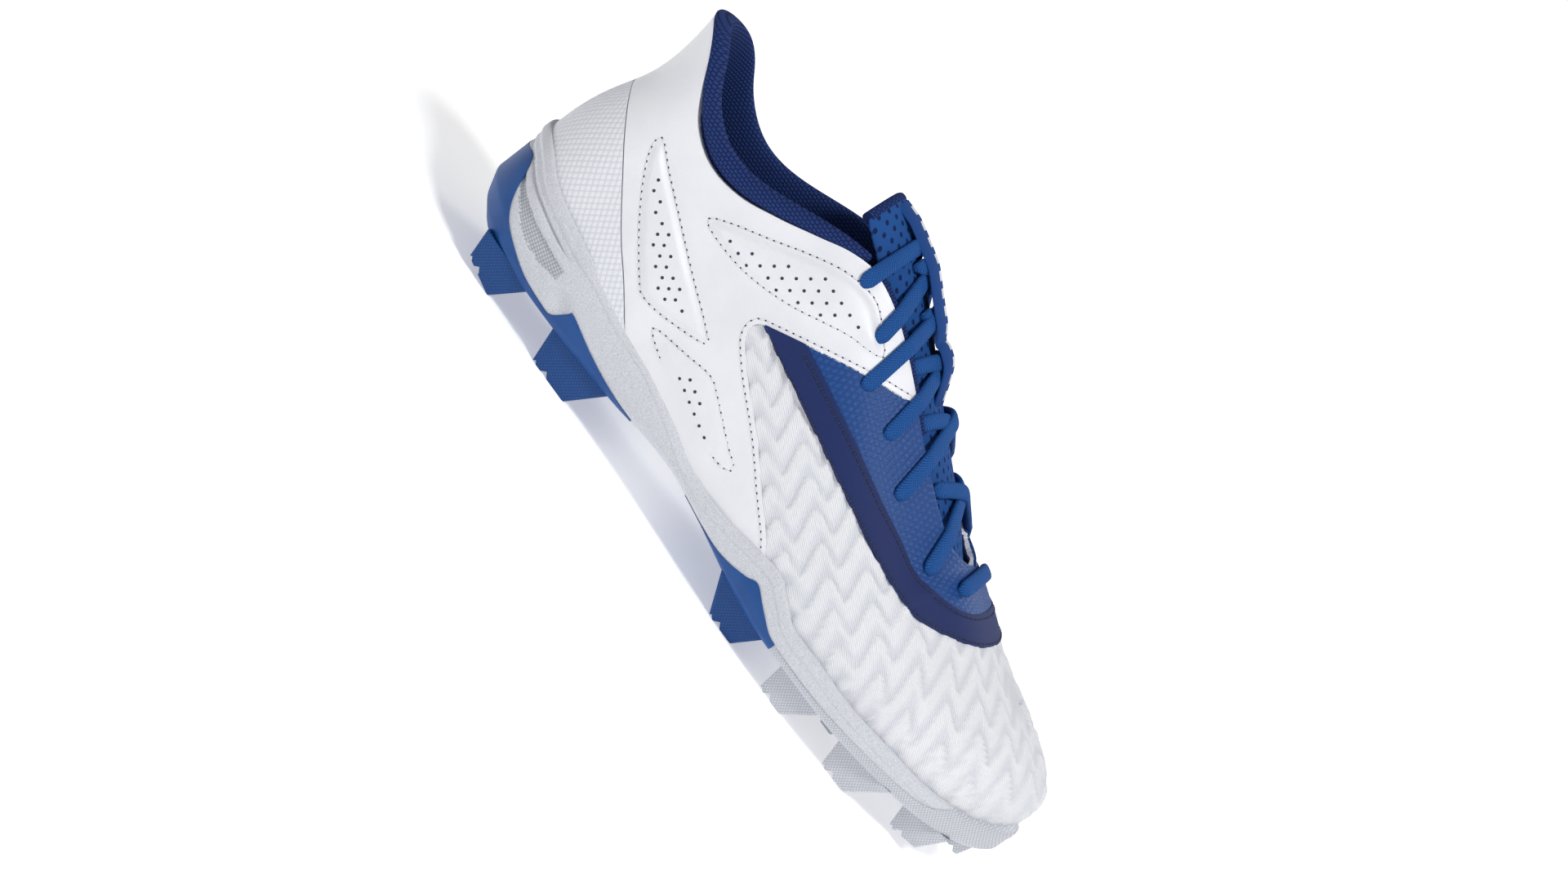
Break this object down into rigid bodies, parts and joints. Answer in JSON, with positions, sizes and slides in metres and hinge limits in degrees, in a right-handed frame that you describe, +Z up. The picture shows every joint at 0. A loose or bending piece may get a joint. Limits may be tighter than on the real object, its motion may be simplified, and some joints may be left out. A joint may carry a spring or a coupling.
{
  "type": "baseball cleat",
  "caption": "Low-cut moulded baseball cleat for the right foot, laced, with a foam midsole and rubber-studded outsole.",
  "frame": {"origin": "on the ground, under the middle of the shoe's overall box", "axes": "+X to the toe, +Y to the medial side, +Z up; the lateral side faces -Y"},
  "size_m": [0.301, 0.0974, 0.1369],
  "materials": {
    "white_mesh": "fine ribbed knit with raised chevrons",
    "white_leather": "smooth synthetic leather, soft sheen",
    "white_weave": "embossed diamond weave",
    "white_foam": "moulded foam, fine pebble",
    "white_rubber": "moulded rubber, fine cross hatch",
    "blue_rubber": "moulded rubber, satin",
    "blue_panel": "embossed synthetic leather",
    "blue_mesh": "padded mesh",
    "blue_lace": "flat braid",
    "navy_band": "matt synthetic leather",
    "navy_knit": "padded knit",
    "insole_foam": "brushed textile over foam"
  },
  "bodies": {
    "root": {"upper": "white_mesh", "quarter": "white_leather", "heel_counter": "white_weave", "throat_band": "navy_band", "throat_panel": "blue_panel", "collar_lining": "navy_knit", "tongue": "blue_mesh", "insole": "insole_foam", "midsole": "white_foam", "outsole_heel": "blue_rubber", "outsole_midfoot": "blue_rubber", "outsole_forefoot": "white_rubber", "lace_top": "blue_lace", "lace_cross_2": "blue_lace", "lace_cross_3": "blue_lace", "lace_cross_4": "blue_lace", "lace_cross_5": "blue_lace", "lace_cross_6": "blue_lace", "lace_bar": "blue_lace", "lace_keeper": "blue_lace"}
  },
  "joints": []
}
